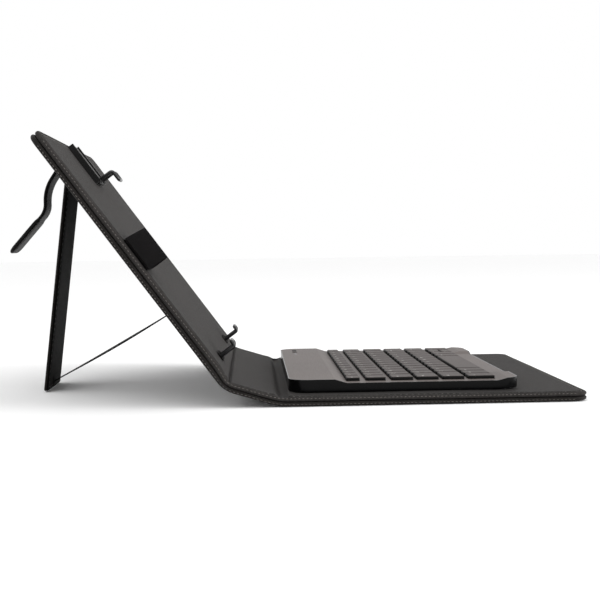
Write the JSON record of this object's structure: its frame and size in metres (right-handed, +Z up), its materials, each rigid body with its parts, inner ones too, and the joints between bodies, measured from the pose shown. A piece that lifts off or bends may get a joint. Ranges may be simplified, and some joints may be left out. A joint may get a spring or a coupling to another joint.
{
  "type": "tablet keyboard case",
  "caption": "Padded folio case that folds around a tablet and a thin wireless keyboard, with wire hooks, a kickstand, a stylus loop and a magnetic strap.",
  "frame": {"origin": "centre of the keyboard panel's underside, on the table", "axes": "+X along the folds to the user's right, +Y from the user towards the stand, +Z up"},
  "size_m": [0.27, 0.3914, 0.1772],
  "materials": {
    "leatherette": "fine grained black leatherette, satin",
    "lining": "fine grained dark grey lining, matt",
    "board": "grey board",
    "wire": "black painted wire, semi gloss",
    "slider": "black moulded plastic",
    "elastic": "black woven elastic",
    "ribbon": "black ribbon",
    "deck": "warm grey brown brushed satin",
    "base": "gloss black",
    "keycap": "warm grey brown satin",
    "legend": "pale printed legends",
    "steel": "plain",
    "magnet": "nickel plated",
    "cell": "foil pouch",
    "circuit": "green solder mask",
    "domes": "pale silicone",
    "lens": "clear light lens",
    "feet": "black rubber",
    "thread": "polyester thread"
  },
  "bodies": {
    "keyboard_panel": {"keyboard_panel_cover": "leatherette", "keyboard_panel_board": "board", "keyboard_panel_lining": "lining", "front_fold": "leatherette", "latch_plate": "steel", "panel_magnets": "magnet"},
    "spine": {"spine_cover": "leatherette", "spine_board": "board", "spine_lining": "lining", "rear_fold": "leatherette"},
    "tablet_panel": {"tablet_panel_cover": "leatherette", "tablet_panel_board": "board", "tablet_panel_lining": "lining", "bottom_hook_left": "wire", "bottom_hook_right": "wire", "slider_guide": "slider", "slider_elastic": "elastic", "stylus_loop": "elastic", "kickstand_tape": "leatherette"},
    "hook_slider": {"hook_slider": "slider", "top_hook": "wire"},
    "kickstand": {"kickstand_leg": "leatherette", "kickstand_board": "board", "stay_ribbon": "ribbon"},
    "strap_root": {"strap_base": "leatherette"},
    "strap_middle": {"strap_band": "leatherette"},
    "strap_end": {"strap_tab": "leatherette", "tab_magnet": "magnet"},
    "keyboard": {"keyboard_base": "base", "keyboard_deck": "deck", "battery": "cell", "circuit_board": "circuit", "key_backplate": "steel", "dome_sheet": "domes", "usb_port": "steel", "status_leds": "lens", "rubber_feet": "feet", "base_screws": "steel", "keyboard_magnets": "magnet"},
    "power_switch": {"power_switch": "slider"},
    "pairing_button": {"pairing_button": "slider"},
    "esc_key": {"esc_key": "keycap"},
    "function_keys": {"function_keys": "keycap"},
    "number_keys": {"number_keys": "keycap"},
    "backspace_key": {"backspace_key": "keycap"},
    "tab_key": {"tab_key": "keycap"},
    "top_letter_keys": {"top_letter_keys": "keycap"},
    "caps_key": {"caps_key": "keycap"},
    "home_letter_keys": {"home_letter_keys": "keycap"},
    "enter_key": {"enter_key": "keycap"},
    "shift_left_key": {"shift_left_key": "keycap"},
    "bottom_letter_keys": {"bottom_letter_keys": "keycap"},
    "shift_right_key": {"shift_right_key": "keycap"},
    "modifier_keys": {"modifier_keys": "keycap"},
    "space_key": {"space_key": "keycap"},
    "left_arrow_key": {"left_arrow_key": "keycap"},
    "up_arrow_key": {"up_arrow_key": "keycap"},
    "down_arrow_key": {"down_arrow_key": "keycap"},
    "right_arrow_key": {"right_arrow_key": "keycap"}
  },
  "joints": [
    {"name": "front_fold_hinge", "type": "hinge", "parent": "keyboard_panel", "child": "spine", "pos_m": [0, 0.1, 0], "axis": [1, 0, 0], "range_deg": [-17, 73], "deforming": ["front_fold"]},
    {"name": "rear_fold_hinge", "type": "hinge", "parent": "spine", "child": "tablet_panel", "pos_m": [0, 0.135, 0.0107], "axis": [1, 0, 0], "range_deg": [-36.6, 53.4], "deforming": ["rear_fold"]},
    {"name": "kickstand_hinge", "type": "hinge", "parent": "tablet_panel", "child": "kickstand", "pos_m": [0, 0.24505, 0.15693], "axis": [-1, 0, 0], "range_deg": [0, 43.3], "deforming": ["stay_ribbon"]},
    {"name": "strap_root_hinge", "type": "hinge", "parent": "tablet_panel", "child": "strap_root", "pos_m": [0, 0.25114, 0.16486], "axis": [1, 0, 0], "range_deg": [-15, 108]},
    {"name": "strap_middle_hinge", "type": "hinge", "parent": "strap_root", "child": "strap_middle", "pos_m": [0, 0.25756, 0.1552], "axis": [-1, 0, 0], "range_deg": [-90, 20]},
    {"name": "strap_end_hinge", "type": "hinge", "parent": "strap_middle", "child": "strap_end", "pos_m": [0, 0.26764, 0.12505], "axis": [-1, 0, 0], "range_deg": [-90, 20]},
    {"name": "hook_slide", "type": "slide", "parent": "tablet_panel", "child": "hook_slider", "axis": [0, 0.5934, 0.8049], "range_m": [0, 0.018], "stiffness_N_per_m": 25, "springref_m": -0.01},
    {"name": "keyboard_lift", "type": "slide", "parent": "keyboard_panel", "child": "keyboard", "axis": [0, 0, -1], "range_m": [-0.06, 0]},
    {"name": "power_switch_slide", "type": "slide", "parent": "keyboard", "child": "power_switch", "axis": [1, 0, 0], "range_m": [0, 0.003]},
    {"name": "pairing_press", "type": "slide", "parent": "keyboard", "child": "pairing_button", "axis": [0, 0, -1], "range_m": [0, 0.0006], "stiffness_N_per_m": 400},
    {"name": "esc_key_press", "type": "slide", "parent": "keyboard", "child": "esc_key", "axis": [0, 0, -1], "range_m": [0, 0.0015], "stiffness_N_per_m": 250},
    {"name": "function_keys_press", "type": "slide", "parent": "keyboard", "child": "function_keys", "axis": [0, 0, -1], "range_m": [0, 0.0015], "stiffness_N_per_m": 900},
    {"name": "number_keys_press", "type": "slide", "parent": "keyboard", "child": "number_keys", "axis": [0, 0, -1], "range_m": [0, 0.0015], "stiffness_N_per_m": 900},
    {"name": "backspace_key_press", "type": "slide", "parent": "keyboard", "child": "backspace_key", "axis": [0, 0, -1], "range_m": [0, 0.0015], "stiffness_N_per_m": 250},
    {"name": "tab_key_press", "type": "slide", "parent": "keyboard", "child": "tab_key", "axis": [0, 0, -1], "range_m": [0, 0.0015], "stiffness_N_per_m": 250},
    {"name": "top_letter_keys_press", "type": "slide", "parent": "keyboard", "child": "top_letter_keys", "axis": [0, 0, -1], "range_m": [0, 0.0015], "stiffness_N_per_m": 900},
    {"name": "caps_key_press", "type": "slide", "parent": "keyboard", "child": "caps_key", "axis": [0, 0, -1], "range_m": [0, 0.0015], "stiffness_N_per_m": 250},
    {"name": "home_letter_keys_press", "type": "slide", "parent": "keyboard", "child": "home_letter_keys", "axis": [0, 0, -1], "range_m": [0, 0.0015], "stiffness_N_per_m": 900},
    {"name": "enter_key_press", "type": "slide", "parent": "keyboard", "child": "enter_key", "axis": [0, 0, -1], "range_m": [0, 0.0015], "stiffness_N_per_m": 250},
    {"name": "shift_left_key_press", "type": "slide", "parent": "keyboard", "child": "shift_left_key", "axis": [0, 0, -1], "range_m": [0, 0.0015], "stiffness_N_per_m": 250},
    {"name": "bottom_letter_keys_press", "type": "slide", "parent": "keyboard", "child": "bottom_letter_keys", "axis": [0, 0, -1], "range_m": [0, 0.0015], "stiffness_N_per_m": 900},
    {"name": "shift_right_key_press", "type": "slide", "parent": "keyboard", "child": "shift_right_key", "axis": [0, 0, -1], "range_m": [0, 0.0015], "stiffness_N_per_m": 250},
    {"name": "modifier_keys_press", "type": "slide", "parent": "keyboard", "child": "modifier_keys", "axis": [0, 0, -1], "range_m": [0, 0.0015], "stiffness_N_per_m": 900},
    {"name": "space_key_press", "type": "slide", "parent": "keyboard", "child": "space_key", "axis": [0, 0, -1], "range_m": [0, 0.0015], "stiffness_N_per_m": 250},
    {"name": "left_arrow_key_press", "type": "slide", "parent": "keyboard", "child": "left_arrow_key", "axis": [0, 0, -1], "range_m": [0, 0.0015], "stiffness_N_per_m": 250},
    {"name": "up_arrow_key_press", "type": "slide", "parent": "keyboard", "child": "up_arrow_key", "axis": [0, 0, -1], "range_m": [0, 0.0015], "stiffness_N_per_m": 250},
    {"name": "down_arrow_key_press", "type": "slide", "parent": "keyboard", "child": "down_arrow_key", "axis": [0, 0, -1], "range_m": [0, 0.0015], "stiffness_N_per_m": 250},
    {"name": "right_arrow_key_press", "type": "slide", "parent": "keyboard", "child": "right_arrow_key", "axis": [0, 0, -1], "range_m": [0, 0.0015], "stiffness_N_per_m": 250}
  ]
}
